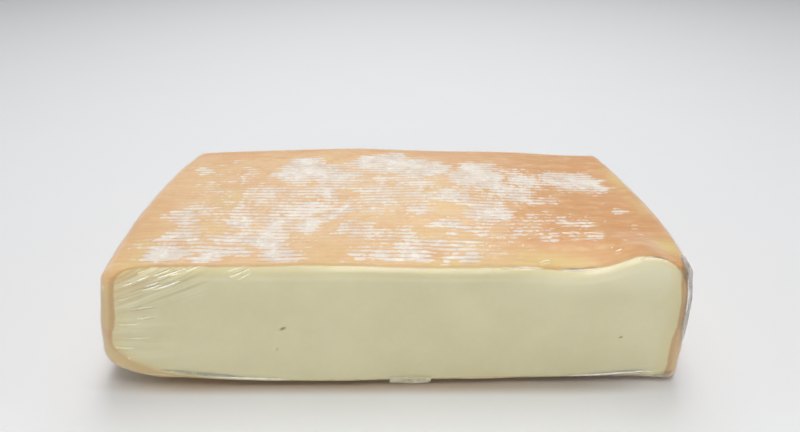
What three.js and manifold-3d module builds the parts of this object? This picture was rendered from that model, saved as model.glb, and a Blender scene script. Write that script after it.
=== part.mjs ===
// Half of a square washed-rind soft cheese, cut across and wrapped in tight clear film.
// The solid is the wrapped block out to the film's outer surface.
// Units are millimetres. X runs along the cut face, Y from the cut face (-Y) to the old
// outer edge of the wheel (+Y), Z up. The origin is under the middle of the block, on the table.
import * as THREE from 'three';
import { mergeVertices } from 'three/addons/utils/BufferGeometryUtils.js';
import Module from 'manifold-3d';

// ---- main sizes -----------------------------------------------------------------------
const LENGTH = 187.0;          // between the ends, before they belly and lean
const DEPTH = 106.0;           // cut face to back
const HEIGHT = 45.3;           // table to top, at the middle

// ---- edge radii -----------------------------------------------------------------------
const R_TOP = 5.9;             // top edges, ends and back
const R_CUT_TOP = 4.4;         // top edge of the cut face, drawn round by the film
const R_FOOT = 5.0;            // bottom edges, ends and back
const R_CUT_FOOT = 2.4;        // bottom edge of the cut face
const R_TOE_LEFT = 7.0;        // slumped lower left edge
const R_TOE_RIGHT = 3.6;       // lower right edge
const R_CUT_UPRIGHT = 3.9;     // upright edges beside the cut face
const R_BACK_UPRIGHT = 5.4;    // upright edges at the back

// ---- sag and swelling of the soft body --------------------------------------------------
const LEAN_LEFT = 6.9;         // the left end spreads out towards the table
const LEAN_RIGHT = 2.7;        // the right end does so less
const BELLY = 4.4;             // both ends bow out between their corners
const BELLY_SKEW = 0.22;       // the right end more so towards the cut face
const CUT_NIP = 1.8;           // the film pulls in the top left corner of the cut face
const CROWN = 2.4;             // the back bows out in plan
const CROWN_X = -12;
const DOME = 1.95;             // the top rises towards the back, highest left of the middle
const DOME_X = -14;
const CUT_SKEW = 0.9;          // the right end of the cut face sits back, the left end forward
const TOE_LIFT = 9.4;          // the lower left corner of the cut face is off the table
const TOE_FROM = -73;
const FOOT_LIFT = 1.0;         // the sole curls up a little towards the cut face
const SHOULDER = 0.8;          // the top left corner of the cut face is low
const PEAK = 3.0;              // the rind stands up near the top right corner of the cut face
const PEAK_X = 77;
const PEAK_WIDTH = 8.2;
const DIP = 2.3;               // and dips beside it
const DIP_X = 55.6;
const DIP_WIDTH = 13;
const ROLL = 0.45;             // slow unevenness of the top

// ---- loose fold of film that shows under the cut face -----------------------------------
const TAB_LEFT = -2.6;
const TAB_RIGHT = 12.1;
const TAB_FRONT = -52.3;
const TAB_BACK = -45.0;
const TAB_THICK = 0.7;

// ---- mesh density -----------------------------------------------------------------------
const FLAT_X = 34, FLAT_Y = 14, FLAT_Z = 5;   // steps along the flats
const ARC = 3;                                // steps round half of each edge
const SHARE = 0.8;                            // part of each axis that the flats take

const clamp = (v, lo, hi) => Math.min(hi, Math.max(lo, v));
const ease = (a, b, x) => { const t = clamp((x - a) / (b - a), 0, 1); return t * t * (3 - 2 * t); };
const hump = (x, centre, width) => Math.exp(-(((x - centre) / width) ** 2));

// Edge radius at a place given by its share of the half sizes, u along X, v along Y, w along Z.
function edgeRadius(u, v, w) {
  const cut = ease(-0.25, -1, v), back = ease(0.25, 1, v);
  const left = ease(-0.4, -1, u), right = ease(0.4, 1, u), end = Math.max(left, right);
  const low = ease(0.1, -1, w), high = 1 - low;
  let r = R_TOP * high + R_FOOT * low;
  r += (R_CUT_TOP - R_TOP) * high * cut * (1 - end) + (R_CUT_FOOT - R_FOOT) * low * cut * (1 - end);
  r += (R_CUT_UPRIGHT - R_TOP) * high * cut * end;
  r += 0.6 * back * end * ((R_BACK_UPRIGHT - R_TOP) * high + (R_BACK_UPRIGHT - R_FOOT) * low);
  r += (R_TOE_LEFT - R_FOOT) * low * left * (1 - 0.25 * back);
  r += (R_TOE_RIGHT - R_FOOT) * low * right * (1 - 0.5 * back);
  return Math.max(r, 1.5);
}

// A point of the cube from -1 to 1 goes to the surface of the block. The outer fifth of each
// axis wraps round the edge in equal angles; the rest spreads over the flats.
function blockPoint(a, b, c) {
  const q = [a, b, c];
  const inner = q.map((t) => Math.sign(t) * clamp(Math.abs(t) / SHARE, 0, 1));
  const dir = q.map((t) => Math.sign(t) * Math.tan(Math.PI / 4 * clamp((Math.abs(t) - SHARE) / (1 - SHARE), 0, 1)));
  const norm = Math.hypot(...dir);
  const r = edgeRadius(...inner);
  const half = [LENGTH / 2, DEPTH / 2, HEIGHT / 2];
  let [x, y, z] = q.map((t, i) => inner[i] * (half[i] - r) + r * dir[i] / norm);
  z += half[2];

  const t = clamp(z / HEIGHT, 0, 1.1), u = x / half[0], v = y / half[1];
  const left = ease(-0.1, -1, u), right = ease(0.1, 1, u), back = ease(0, 1, v), cut = ease(-0.1, -1, v);
  const belly = BELLY * (1 - v * v) * (0.4 + 0.6 * t);
  const X = x - left * (LEAN_LEFT * (1 - t) + belly - CUT_NIP * cut * t)
              + right * (LEAN_RIGHT * (1 - t * t) + belly * (1 - BELLY_SKEW * v));
  const Y = y + back * CROWN * (1 - ((x - CROWN_X) / 90) ** 2)
              - cut * (0.8 * hump(x, -36, 52) - 0.5 * hump(x, 70, 40)) * (1 - t)
              + cut * CUT_SKEW * u;
  const rise = DOME * Math.max(0, 1 - ((x - DOME_X) / 88) ** 2) * ease(-0.6, 0.9, v)
             - 0.2 * ease(-0.5, -1, u) * back
             - 0.3 * ease(0.05, 1, u) * ease(-0.6, 1, v)
             + PEAK * hump(x, PEAK_X, PEAK_WIDTH) * ease(-0.45, -0.9, v)
             - DIP * hump(x, DIP_X, DIP_WIDTH) * ease(-0.6, -0.95, v)
             - SHOULDER * ease(-0.7, -1, u) * ease(0.1, -1, v)
             + ROLL * (Math.sin(x / 23 + 0.6) * Math.cos(y / 19 - 0.4) + 0.55 * Math.sin(x / 11 - y / 17));
  const curl = FOOT_LIFT * ease(-34, -50, y) * ease(0.2, 0, t) * ease(-84, -70, x) * ease(92, 72, x);
  const Z = z + curl + rise * t ** 1.5 + TOE_LIFT * ease(TOE_FROM, -100, x) * ease(0.1, -0.9, v) * (1 - t);
  return [X, Y, Z];
}

// Grid lines of one axis: even over the flat, even in angle round the edges.
function gridLines(flat) {
  const lines = [];
  for (let i = 0; i < ARC; i++) lines.push(-1 + (1 - SHARE) * i / ARC);
  for (let i = 0; i <= flat; i++) lines.push(-SHARE + 2 * SHARE * i / flat);
  for (let i = 1; i <= ARC; i++) lines.push(SHARE + (1 - SHARE) * i / ARC);
  return lines;
}

function bare(geometry) {
  geometry.deleteAttribute('normal');
  geometry.deleteAttribute('uv');
  return mergeVertices(geometry, 1e-4);
}

function blockGeometry() {
  const lines = [gridLines(FLAT_X), gridLines(FLAT_Y), gridLines(FLAT_Z)];
  const steps = lines.map((l) => l.length - 1);
  const geometry = bare(new THREE.BoxGeometry(2, 2, 2, ...steps));
  const pos = geometry.attributes.position;
  for (let i = 0; i < pos.count; i++) {
    const cube = [pos.getX(i), pos.getY(i), pos.getZ(i)].map((t, k) => lines[k][Math.round((t + 1) / 2 * steps[k])]);
    pos.setXYZ(i, ...blockPoint(...cube));
  }
  return geometry;
}

// The fold of film lies flat on the table and runs in under the foot of the block.
function tabGeometry() {
  const r = 1.6, outline = new THREE.Shape();
  outline.moveTo(TAB_LEFT + 0.5, TAB_BACK);
  outline.lineTo(TAB_LEFT, TAB_FRONT + r);
  outline.quadraticCurveTo(TAB_LEFT, TAB_FRONT, TAB_LEFT + 1.3 * r, TAB_FRONT);
  outline.lineTo(TAB_RIGHT - 2 * r, TAB_FRONT + 0.2);
  outline.quadraticCurveTo(TAB_RIGHT, TAB_FRONT + 0.3, TAB_RIGHT, TAB_FRONT + 1.7 * r);
  outline.lineTo(TAB_RIGHT + 1.2, TAB_BACK);
  outline.closePath();
  return bare(new THREE.ExtrudeGeometry(outline, { depth: TAB_THICK, bevelEnabled: false, curveSegments: 5 }));
}

const wasm = await Module();
wasm.setup();

function toSolid(geometry) {
  return new wasm.Manifold(new wasm.Mesh({
    numProp: 3,
    vertProperties: Float32Array.from(geometry.attributes.position.array),
    triVerts: Uint32Array.from(geometry.index.array),
  }));
}

const joined = toSolid(blockGeometry()).add(toSolid(tabGeometry())).getMesh();
const wrapped = new THREE.BufferGeometry();
wrapped.setAttribute('position', new THREE.BufferAttribute(Float32Array.from(joined.vertProperties), 3));
wrapped.setIndex(new THREE.BufferAttribute(Uint32Array.from(joined.triVerts), 1));
wrapped.computeBoundingBox();
const { min, max } = wrapped.boundingBox;
wrapped.translate(-(min.x + max.x) / 2, -(min.y + max.y) / 2, -min.z);
wrapped.computeVertexNormals();

const cheese = new THREE.Mesh(
  wrapped,
  new THREE.MeshStandardMaterial({ color: 0xe2bf8e, roughness: 0.35, metalness: 0 }),
);
cheese.name = 'taleggio';

const part = new THREE.Group();
part.add(cheese);

export default part;
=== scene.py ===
# Half of a square washed-rind soft cheese, wrapped tight in clear film, on a plain pale floor.
import math

import bpy
import numpy as np
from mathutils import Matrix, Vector
from mathutils.bvhtree import BVHTree


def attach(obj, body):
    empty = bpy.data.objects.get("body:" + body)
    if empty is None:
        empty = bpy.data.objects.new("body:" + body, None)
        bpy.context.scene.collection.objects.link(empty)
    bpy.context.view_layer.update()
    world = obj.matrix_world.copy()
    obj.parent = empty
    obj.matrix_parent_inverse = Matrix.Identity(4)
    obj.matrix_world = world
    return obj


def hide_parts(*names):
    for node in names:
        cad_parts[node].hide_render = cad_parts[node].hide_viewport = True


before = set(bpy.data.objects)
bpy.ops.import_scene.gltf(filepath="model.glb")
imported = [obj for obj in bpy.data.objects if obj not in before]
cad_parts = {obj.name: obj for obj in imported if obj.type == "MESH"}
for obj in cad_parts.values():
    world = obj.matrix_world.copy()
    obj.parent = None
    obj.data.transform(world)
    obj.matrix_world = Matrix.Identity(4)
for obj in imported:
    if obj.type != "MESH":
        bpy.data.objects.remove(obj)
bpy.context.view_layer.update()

MM = 0.001

# =========================================================================================
# The block's form, in millimetres: the solid's, drawn in a little more at the top right corner
# =========================================================================================
LENGTH, DEPTH, HEIGHT = 187.0, 106.0, 45.3
R_TOP, R_CUT_TOP, R_FOOT, R_CUT_FOOT = 5.9, 4.4, 5.0, 2.4
R_TOE_LEFT, R_TOE_RIGHT, R_CUT_UPRIGHT, R_BACK_UPRIGHT = 7.0, 3.6, 3.9, 5.4
LEAN_LEFT, LEAN_RIGHT, BELLY, BELLY_SKEW, CUT_NIP = 6.9, 2.7, 4.4, 0.22, 1.8
CROWN, CROWN_X, DOME, DOME_X, CUT_SKEW = 2.4, -12.0, 1.95, -14.0, 0.9
TOE_LIFT, TOE_FROM, SHOULDER = 9.4, -73.0, 0.8
PEAK, PEAK_X, PEAK_WIDTH = 3.0, 77.0, 8.2
DIP, DIP_X, DIP_WIDTH = 2.3, 55.6, 13.0
ROLL = 0.45
FOOT_LIFT = 1.0          # the sole curls up a little towards the cut face
NIP_RIGHT = 0.9          # the wrap draws in the top right corner of the cut face
SHARE = 0.8
CENTRE = np.array([-1.4376, 0.6127, 0.0])     # the block's own frame to the part's frame


def ease(a, b, x):
    t = np.clip((x - a) / (b - a), 0.0, 1.0)
    return t * t * (3 - 2 * t)


def hump(x, centre, width):
    return np.exp(-(((x - centre) / width) ** 2))


def edge_radius(u, v, w):
    cut, back = ease(-0.25, -1, v), ease(0.25, 1, v)
    left, right = ease(-0.4, -1, u), ease(0.4, 1, u)
    end = np.maximum(left, right)
    low = ease(0.1, -1, w)
    high = 1 - low
    r = R_TOP * high + R_FOOT * low
    r = r + (R_CUT_TOP - R_TOP) * high * cut * (1 - end) + (R_CUT_FOOT - R_FOOT) * low * cut * (1 - end)
    r = r + (R_CUT_UPRIGHT - R_TOP) * high * cut * end
    r = r + 0.6 * back * end * ((R_BACK_UPRIGHT - R_TOP) * high + (R_BACK_UPRIGHT - R_FOOT) * low)
    r = r + (R_TOE_LEFT - R_FOOT) * low * left * (1 - 0.25 * back)
    r = r + (R_TOE_RIGHT - R_FOOT) * low * right * (1 - 0.5 * back)
    return np.maximum(r, 1.5)


def settle(x, y, z):
    """The soft block's sag: a point of the straight block to the point of the settled one."""
    t, u, v = np.clip(z / HEIGHT, 0, 1.1), x / (LENGTH / 2), y / (DEPTH / 2)
    left, right = ease(-0.1, -1, u), ease(0.1, 1, u)
    back, cut = ease(0, 1, v), ease(-0.1, -1, v)
    belly = BELLY * (1 - v * v) * (0.4 + 0.6 * t)
    X = x - left * (LEAN_LEFT * (1 - t) + belly - CUT_NIP * cut * t) + right * (LEAN_RIGHT * (1 - t * t) + belly * (1 - BELLY_SKEW * v))
    X = X - NIP_RIGHT * ease(0.80, 0.98, u) * ease(-0.45, -0.85, v) * ease(0.70, 0.90, t)
    Y = (y + back * CROWN * (1 - ((x - CROWN_X) / 90) ** 2)
         - cut * (0.8 * hump(x, -36, 52) - 0.5 * hump(x, 70, 40)) * (1 - t) + cut * CUT_SKEW * u)
    rise = (DOME * np.maximum(0, 1 - ((x - DOME_X) / 88) ** 2) * ease(-0.6, 0.9, v)
            - 0.2 * ease(-0.5, -1, u) * back - 0.3 * ease(0.05, 1, u) * ease(-0.6, 1, v)
            + PEAK * hump(x, PEAK_X, PEAK_WIDTH) * ease(-0.45, -0.9, v)
            - DIP * hump(x, DIP_X, DIP_WIDTH) * ease(-0.6, -0.95, v)
            - SHOULDER * ease(-0.7, -1, u) * ease(0.1, -1, v)
            + ROLL * (np.sin(x / 23 + 0.6) * np.cos(y / 19 - 0.4) + 0.55 * np.sin(x / 11 - y / 17)))
    curl = FOOT_LIFT * ease(-34, -50, y) * ease(0.2, 0.0, t) * ease(-84, -70, x) * ease(92, 72, x)
    Z = z + curl + rise * t ** 1.5 + TOE_LIFT * ease(TOE_FROM, -100, x) * ease(0.1, -0.9, v) * (1 - t)
    return np.stack([X, Y, Z], -1) - CENTRE


def block(q):
    """Points of the cube from -1 to 1 to the block's surface. Returns the settled points and the straight ones."""
    s, m = np.sign(q), np.abs(q)
    inner = s * np.clip(m / SHARE, 0, 1)
    out = s * np.tan(math.pi / 4 * np.clip((m - SHARE) / (1 - SHARE), 0, 1))
    out = out / np.linalg.norm(out, axis=-1, keepdims=True)
    r = edge_radius(inner[..., 0], inner[..., 1], inner[..., 2])[..., None]
    p = inner * (np.array([LENGTH, DEPTH, HEIGHT]) / 2 - r) + r * out
    p[..., 2] += HEIGHT / 2
    return settle(p[..., 0], p[..., 1], p[..., 2]), p, out


def grid_lines(flat, arc, fine=()):
    """Grid lines of one axis. fine holds (centre, half width, count) of closer lines on the flat."""
    lines = list(np.linspace(-SHARE, SHARE, flat + 1))
    for centre, half, count in fine:
        lines = [v for v in lines if abs(v - centre) > half or abs(abs(v) - SHARE) < 1e-9]
        lines += list(np.linspace(centre - half, centre + half, count))
    side = list(np.linspace(SHARE, 1, arc + 1)[1:])
    return np.array(sorted([-v for v in side] + lines + side))


def cube_net(ax, ay, az):
    """A closed net of quads over the cube, its points on the given grid lines."""
    nx, ny, nz = len(ax), len(ay), len(az)
    quads = []

    def face(i, j, k, flip):
        g = (i * ny + j) * nz + k
        q = np.stack([g[:-1, :-1], g[1:, :-1], g[1:, 1:], g[:-1, 1:]], -1).reshape(-1, 4)
        quads.append(q[:, ::-1] if flip else q)

    X, Y = np.meshgrid(np.arange(nx), np.arange(ny), indexing="ij")
    face(X, Y, np.full_like(X, nz - 1), False)
    face(X, Y, np.zeros_like(X), True)
    X, Z = np.meshgrid(np.arange(nx), np.arange(nz), indexing="ij")
    face(X, np.zeros_like(X), Z, False)
    face(X, np.full_like(X, ny - 1), Z, True)
    Y, Z = np.meshgrid(np.arange(ny), np.arange(nz), indexing="ij")
    face(np.full_like(Y, nx - 1), Y, Z, False)
    face(np.zeros_like(Y), Y, Z, True)
    keys, index = np.unique(np.concatenate(quads), return_inverse=True)
    q = np.stack([ax[keys // (ny * nz)], ay[keys // nz % ny], az[keys % nz]], -1)
    return q, index.reshape(-1, 4)


def point_normals(P, F):
    n = np.cross(P[F[:, 2]] - P[F[:, 0]], P[F[:, 3]] - P[F[:, 1]])
    total = np.zeros_like(P)
    for k in range(4):
        np.add.at(total, F[:, k], n)
    return total / np.linalg.norm(total, axis=1, keepdims=True)


# Smooth noise between -1 and 1 on a lattice of hashed values.
def _lattice(ix, iy, iz, seed):
    h = (ix * 374761393 + iy * 668265263 + iz * 1442695041 + seed * 974634777) & 0xFFFFFFFF
    h = ((h ^ (h >> 13)) * 1274126177) & 0xFFFFFFFF
    h = ((h ^ (h >> 16)) * 2246822519) & 0xFFFFFFFF
    return ((h ^ (h >> 15)) & 0xFFFF) / 32767.5 - 1.0


def noise(x, y, z=0.0, seed=0, octaves=1):
    x, y, z = np.broadcast_arrays(np.asarray(x, float), np.asarray(y, float), np.asarray(z, float))
    total, size, norm = 0.0, 1.0, 0.0
    for o in range(octaves):
        px, py, pz = x * 2.0 ** o + 17.3 * o, y * 2.0 ** o - 9.1 * o, z * 2.0 ** o + 5.7 * o
        ix, iy, iz = np.floor(px).astype(np.int64), np.floor(py).astype(np.int64), np.floor(pz).astype(np.int64)
        fx, fy, fz = px - ix, py - iy, pz - iz
        fx, fy, fz = (f * f * f * (f * (f * 6 - 15) + 10) for f in (fx, fy, fz))
        v = 0.0
        for dx in (0, 1):
            for dy in (0, 1):
                for dz in (0, 1):
                    w = (fx if dx else 1 - fx) * (fy if dy else 1 - fy) * (fz if dz else 1 - fz)
                    v = v + w * _lattice(ix + dx, iy + dy, iz + dz, seed + o)
        total, norm, size = total + v * size, norm + size, size * 0.5
    return total / norm


def new_mesh(name, P, F, attributes=()):
    mesh = bpy.data.meshes.new(name)
    mesh.from_pydata((np.asarray(P) * MM).tolist(), [], [list(f) for f in np.asarray(F).tolist()] if not isinstance(F, list) else F)
    for key, values in dict(attributes).items():
        a = mesh.attributes.new(key, "FLOAT", "POINT")
        a.data.foreach_set("value", np.asarray(values, np.float32))
    mesh.polygons.foreach_set("use_smooth", np.ones(len(mesh.polygons), bool))
    mesh.update()
    ob = bpy.data.objects.new(name, mesh)
    bpy.context.scene.collection.objects.link(ob)
    return ob


# =========================================================================================
# Camera, at the photo's viewing angle
# =========================================================================================
WIDE, HIGH, FOCAL = 800, 432, 590.0
EYE = np.array([2.468, -207.978, 141.886])
PITCH = math.radians(26.643)

camera = bpy.data.objects.new("camera", bpy.data.cameras.new("camera"))
bpy.context.scene.collection.objects.link(camera)
camera.data.sensor_fit = "HORIZONTAL"
camera.data.sensor_width = 36.0
camera.data.lens = 36.0 * FOCAL / WIDE
camera.data.clip_start = 0.01
camera.location = EYE * MM
camera.rotation_euler = (math.pi / 2 - PITCH, 0, 0)
bpy.context.scene.camera = camera


def pixel_ray(u, v):
    """Direction from the camera through a place of the 800 by 432 frame."""
    forward = np.array([0, math.cos(PITCH), -math.sin(PITCH)])
    up = np.array([0, math.sin(PITCH), math.cos(PITCH)])
    d = forward + np.array([1.0, 0, 0]) * (u - WIDE / 2) / FOCAL - up * (v - HIGH / 2) / FOCAL
    return d / np.linalg.norm(d)


# =========================================================================================
# The cheese
# =========================================================================================
PITCH_RIB = 2.5          # the draining mat's ribs on top and underneath

# Where the wrap stands off the top, so that the rind shows white through it:
# x, y, half length, half depth, strength.
LOOSE = [
    (-40, 27, 12, 13, 0.95), (-25, 21, 10, 11, 0.90), (-4, 33, 15, 12, 0.95), (12, 28, 9, 12, 0.95),
    (-48, 5, 12, 8, 0.62), (-29, 8, 9, 9, 0.72), (-32, -8, 8, 7, 0.80), (-20, -11, 4, 7, 0.95),
    (-30, -20, 5, 6, 0.95), (-43, -14, 7, 10, 0.72), (-55, -21, 5, 5, 0.85), (-42, -28, 7, 9, 0.80),
    (-52, -32, 9, 5, 0.70), (-39, -34, 6, 6, 0.95), (-55, -41, 12, 5, 0.72), (-75, -44, 8, 6, 1.00),
    (-61, -47, 6, 3, 0.80), (-37, -44, 10, 6, 0.82), (-74, -17, 5, 7, 0.72), (-74, -30, 5, 7, 0.70),
    (-74, -5, 2, 4, 0.62), (-83, 26, 2, 5, 0.62), (-74, 27, 2, 3, 0.60), (-64, 23, 2, 3, 0.62),
    (-71, 36, 3, 3, 0.60), (-8, 3, 10, 12, 0.56), (9, -6, 6, 10, 0.56), (-13, -26, 6, 9, 0.60),
    (-13, -46, 2, 4, 0.80), (-5, -43, 4, 4, 0.75), (5, -27, 5, 6, 0.62), (6, -42, 6, 5, 0.80),
    (-4, -30, 4, 6, 0.50), (34, 21, 11, 14, 1.00), (40, 12, 6, 7, 0.90), (52, 18, 7, 7, 0.85),
    (74, 17, 14, 11, 0.85), (48, 4, 9, 7, 0.80), (23, 0, 7, 7, 0.80), (34, -11, 11, 9, 0.74),
    (40, -16, 4, 3, 0.85), (54, -3, 5, 4, 0.68), (62, -2, 4, 5, 0.58), (20, -21, 6, 4, 0.75),
    (32, -27, 2, 3, 0.90), (22, -28, 2, 2, 0.80), (15, -35, 5, 2, 0.75), (23, -35, 2, 2, 0.70),
    (25, -45, 4, 5, 0.82), (35, -41, 3, 3, 0.65), (17, -46, 2, 2, 0.70), (60, -20, 3, 4, 0.55),
    (55, -32, 7, 2, 0.60), (69, -31, 5, 2, 0.55), (84, -12, 4, 3, 0.60), (-20, -41, 5, 9, -0.50),
    (-19, 3, 2, 3, -0.60), (-53, 25, 3, 6, -0.50), (-42, -15, 2, 2, -0.35),
]
# The wider ground where thin bars and flecks show between those: x, y, half length, half depth, strength.
THIN = [
    (-42, -10, 34, 36, 0.46), (-8, 10, 34, 30, 0.44), (-70, -38, 18, 13, 0.50), (42, 12, 30, 26, 0.44),
    (8, -38, 42, 12, 0.42), (66, 14, 26, 18, 0.36), (-66, 16, 18, 22, 0.30), (40, -24, 22, 12, 0.36),
    (-72, -16, 12, 18, 0.42), (62, -22, 18, 14, 0.30),
]
# Small eyes and pits in the cut face: x, z, half length, half height, tilt, depth.
EYES = [(-35.4, 23.8, 1.15, 0.45, 0.45, 0.8), (75.2, 19.3, 0.7, 0.4, -0.2, 0.4),
        (-27.7, 28.1, 0.8, 0.22, 0.1, 0.25), (-38.1, 15.6, 0.6, 0.22, 0.3, 0.2)]


def flat_param(x, half, r):
    return SHARE * x / (half - r)


eye_x = [(flat_param(x + CENTRE[0], LENGTH / 2, 5.0), 0.018, 9) for x, z, *_ in EYES[:2]]
eye_z = [(flat_param(z - HEIGHT / 2, HEIGHT / 2, 5.0), 0.06, 7) for x, z, *_ in EYES[:2]]
q, F = cube_net(grid_lines(112, 7, eye_x), grid_lines(160, 7), grid_lines(22, 7, eye_z))
P, S, D = block(q)
N = point_normals(P, F)
sx, sy, sz = S.T                      # places on the straight block
px, py, pz = P.T
top = ease(0.55, 0.93, D[:, 2])
under = ease(0.55, 0.93, -D[:, 2])
flatways = np.maximum(top, under)

# Distance in from the edge of the cut face, positive on the bare paste.
dy = sy + DEPTH / 2
from_left = (sx + LENGTH / 2) - dy - 4.6 - 0.7 * noise(pz / 9, 1.7, seed=13, octaves=2)
from_right = (LENGTH / 2 - sx) - dy - 4.7 + 1.1 * ease(15, 28, pz) - 0.5 * noise(pz / 8, 9.3, seed=14, octaves=2)
from_foot = sz - dy + 0.3 + 1.3 * noise(px / 16, 3.1, seed=11) - 5.6 * ease(-46, -80, px) - 3.8 * ease(-69, -84, px)
from_top = HEIGHT + 3.55 + 0.8 * noise(px / 13, 7.7, seed=12, octaves=3) - (sz + dy)


def corner(a, b, r):
    """The nearer of two edges, rounded where they meet."""
    p, s = np.maximum(r - a, 0), np.maximum(r - b, 0)
    return np.where((a < r) & (b < r), r - np.hypot(p, s), np.minimum(a, b))


cut = np.minimum(corner(from_left, from_foot, 7.0), corner(from_right, from_foot, 2.5))
cut = np.minimum(cut, np.minimum(corner(from_left, from_top, 2.0), corner(from_right, from_top, 2.0)))
cut = np.minimum(cut, (px + 94.6) * 0.744 + (pz - 16.6) * 0.668 - 2.4 + 0.6 * noise(px / 6, pz / 6, seed=15, octaves=2))
cut = np.where(dy > 14, -14.0, cut)

# The wrap's lift off the rind: wide thin ground first, then the patches, their borders ragged.
row = np.floor((py + 1.5 * noise(px / 48, py / 40, seed=41, octaves=2) + 0.40 * noise(px / 9, py / 14, seed=42)) / PITCH_RIB)
shift = 3.2 * noise(row * 0.91, px / 11, seed=24)
wx = px + 3.0 * noise(px / 11, py / 9, seed=21, octaves=2) + 1.0 * noise(px / 3, py / 3, seed=23, octaves=2) + shift
wy = py + 2.6 * noise(px / 11, py / 9, seed=22, octaves=2) + 0.7 * noise(px / 3, py / 3, seed=25, octaves=2)
ragged = 0.5 + 0.5 * noise(px / 8, py / 6, seed=26, octaves=3)
lift = np.zeros(len(P))
for x, y, rx, ry, a in THIN:
    d = np.sqrt(((wx - x) / rx) ** 2 + ((wy - y) / ry) ** 2)
    lift = np.maximum(lift, a * ease(1.15, 0.5, d))
lift = lift * (0.55 + 0.75 * ragged)
for x, y, rx, ry, a in LOOSE:
    d = np.sqrt(((wx - x) / (rx * 1.2)) ** 2 + ((wy - y) / (ry * 1.2)) ** 2)
    k = ease(1.15, 0.45, d) * (0.80 + 0.25 * ragged)
    lift = np.maximum(lift, a * k) if a > 0 else lift + a * k
lift = np.clip(lift, 0, 1) * top * ease(-1.2, -3.2, cut)
elsewhere = np.clip(0.24 + 0.62 * noise(px / 17 + 3, py / 15, pz / 15, seed=31, octaves=3), 0, 0.95)
lift = np.where(top > 0, lift, 0) + (1 - top) * elsewhere * ease(-1.5, -5, cut) * 0.85

# Ribs: their phase runs across the top and the underside; the ends and back have a softer crease.
wander = 1.5 * noise(px / 48, py / 40, seed=41, octaves=2) + 0.40 * noise(px / 9, py / 14, seed=42)
phase = np.where(flatways > 0, (py + wander) / PITCH_RIB, (pz + 1.2 * noise(px / 30, py / 30, pz / 9, seed=43)) / 3.4)
crest = 0.5 - 0.5 * np.cos(2 * math.pi * phase)
strength = 0.5 + 0.5 * noise(px / 15, py / 12, seed=44, octaves=2)
rib = (crest ** 0.75 - 0.62) * (0.07 + 0.10 * strength + 0.10 * np.clip(lift, 0, 1))
rind = ease(0.2, -0.8, cut)
edge_fade = ease(0.86, 0.99, np.maximum(np.abs(D[:, 2]), 0))
wrinkle = 0.14 * noise(px / 2.6, py / 2.6, pz / 1.9, seed=51, octaves=2) + 0.30 * noise(px / 11, py / 11, pz / 7, seed=52)
bumps = rind * (edge_fade * rib + (1 - edge_fade) * wrinkle * 0.8 + 0.05 * noise(px / 1.8, py / 1.3, pz / 1.4, seed=53, octaves=2))
paste = 1 - rind
bumps = bumps + paste * (0.22 * noise(px / 19, pz / 13, seed=61, octaves=2) + 0.03 * noise(px / 5, pz / 3, seed=62))
# The rind is a little proud where it meets the paste, and the paste swells just inside it.
bumps = bumps + 0.10 * hump(cut, -0.7, 0.8) - 0.12 * hump(cut, 0.25, 0.5)
pit_shade = np.zeros(len(P))
for x, z, rx, rz, tilt, deep in EYES:
    ex, ez = px - x, pz - z
    a, b = ex * math.cos(tilt) + ez * math.sin(tilt), -ex * math.sin(tilt) + ez * math.cos(tilt)
    g = np.exp(-((a / rx) ** 2) - ((b / rz) ** 2)) * (dy < 1)
    pit_shade = np.maximum(pit_shade, g)
    bumps = bumps - deep * g

hollow = ease(80, 90, px) * ease(-35, -45, sy) * ease(14, 30, pz) * ease(46, 41, pz) * ease(-0.35, 0.15, D[:, 0])
depth = np.minimum(bumps - 0.26, -0.03) - 0.95 * hollow
cheese_points = P + N * depth[:, None]
cheese_points[:, 2] = np.maximum(cheese_points[:, 2], 0.25)
tone = 0.5 + 0.5 * noise(px / 34, py / 30, pz / 30, seed=71, octaves=3)
tone = tone + 0.62 * ease(26, 72, px) * top + 0.50 * ease(36, 49, py) * top - 0.10 - 0.25 * hump(px, 5, 36) * hump(py, -10, 34) * top
tone = tone + 0.12 * (1 - top) * ease(0.2, -1, cut)


def on_top(u, v, z=46.0):
    """The place on the top that shows at a place of the frame."""
    d = pixel_ray(u, v)
    t = (z - EYE[2]) / d[2]
    return EYE[0] + d[0] * t, EYE[1] + d[1] * t


# Where the rind is more yellow: along the cut, along the right edge and in a few broad spots.
gold = np.zeros(len(P))
for u, v, rx, ry, a in [
    (548, 253, 13, 4.5, 0.85), (577, 255, 6, 4, 0.7), (672, 245, 5, 6, 1.0), (618, 176, 5, 9, 0.9), (640, 203, 4, 8, 0.5),
    (480, 262, 26, 2.6, 0.7), (400, 263, 30, 2.2, 0.6), (300, 262, 26, 2.2, 0.45), (455, 200, 10, 8, 0.35), (425, 232, 14, 5, 0.35),
    (245, 196, 10, 6, 0.35), (215, 225, 9, 6, 0.30), (330, 250, 9, 4, 0.30), (500, 175, 8, 5, 0.3), (128, 262, 7, 5, 0.45),
]:
    x, y = on_top(u, v)
    gold = np.maximum(gold, a * hump(px + 2.0 * noise(px / 8, py / 8, seed=75), x, rx) * hump(py + 1.5 * noise(px / 7, py / 7, seed=76), y, ry) * top)
cheese = new_mesh("cheese", cheese_points, F, {
    "gold": gold, "topside": top, "lift": lift, "phase": phase, "cut": cut, "tone": tone, "pit_shade": pit_shade, "ribbed": flatways,
})


# =========================================================================================
# Materials
# =========================================================================================
def linear(r, g, b):
    """A colour read as the eye sees it, 0 to 255, as the linear colour a shader takes."""
    f = lambda c: c / 12.92 if c <= 0.04045 else ((c + 0.055) / 1.055) ** 2.4
    return (f(r / 255), f(g / 255), f(b / 255), 1.0)


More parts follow.
